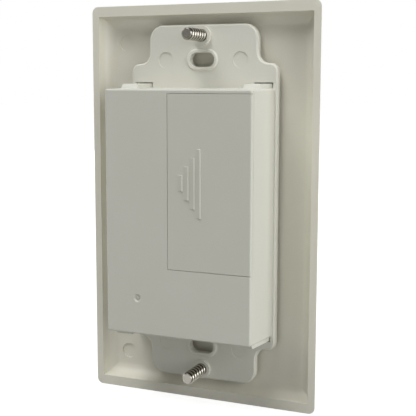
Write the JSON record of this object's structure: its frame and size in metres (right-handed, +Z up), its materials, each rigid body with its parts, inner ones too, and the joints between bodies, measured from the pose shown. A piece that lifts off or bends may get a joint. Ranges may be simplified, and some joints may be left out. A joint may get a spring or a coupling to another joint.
{
  "type": "wireless remote wall switch",
  "caption": "Battery wall transmitter for a decorator opening, with stacked push buttons, a strap frame, a rear case and a sliding battery cover.",
  "frame": {"origin": "midway between the two box-screw slots, on the back face of the mounting frame", "axes": "+Y points back into the wall box, the buttons face -Y, +Z is up and +X is on the left seen from behind"},
  "size_m": [0.0698, 0.0247, 0.1142],
  "materials": {
    "plate_plastic": "semi-gloss white moulding",
    "frame_plastic": "matt white moulding",
    "case_plastic": "matt off-white moulding",
    "cover_plastic": "matt off-white moulding",
    "button_plastic": "satin white moulding",
    "screw_steel": "bright zinc plate",
    "contact_steel": "nickel plate",
    "board_laminate": "green solder mask",
    "component_black": "black epoxy",
    "can_metal": "drawn can",
    "coil_copper": "enamelled copper wire",
    "cell_wrap": "plain dark sleeve over a steel can",
    "clear_plastic": "clear acrylic",
    "led_white": "moulded lens"
  },
  "bodies": {
    "switch": {"wall_plate": "plate_plastic", "plate_screw_upper": "screw_steel", "plate_screw_lower": "screw_steel", "mounting_frame": "frame_plastic", "rear_case": "case_plastic", "circuit_board": "board_laminate", "board_screw_left": "screw_steel", "board_screw_right": "screw_steel", "up_switch_body": "component_black", "stop_switch_body": "component_black", "down_switch_body": "component_black", "cell_left": "cell_wrap", "cell_right": "cell_wrap", "bridge_contact": "contact_steel", "positive_contact": "contact_steel", "negative_contact": "contact_steel", "controller_chip": "component_black", "radio_chip": "component_black", "crystal": "can_metal", "antenna_coil": "coil_copper", "supply_capacitor": "can_metal", "status_led": "led_white", "light_pipe": "clear_plastic"},
    "up": {"up_button": "button_plastic", "up_switch_plunger": "component_black"},
    "stop": {"stop_button": "button_plastic", "stop_switch_plunger": "component_black"},
    "down": {"down_button": "button_plastic", "down_switch_plunger": "component_black"},
    "cover": {"battery_cover": "cover_plastic"}
  },
  "joints": [
    {"name": "up_press", "type": "slide", "parent": "switch", "child": "up", "axis": [0, 1, 0], "range_m": [0, 0.0003], "stiffness_N_per_m": 3000, "springref_m": -0.0004},
    {"name": "stop_press", "type": "slide", "parent": "switch", "child": "stop", "axis": [0, 1, 0], "range_m": [0, 0.0003], "stiffness_N_per_m": 3000, "springref_m": -0.0004},
    {"name": "down_press", "type": "slide", "parent": "switch", "child": "down", "axis": [0, 1, 0], "range_m": [0, 0.0003], "stiffness_N_per_m": 3000, "springref_m": -0.0004},
    {"name": "cover_slide", "type": "slide", "parent": "switch", "child": "cover", "axis": [-1, 0, 0], "range_m": [0, 0.026]}
  ]
}
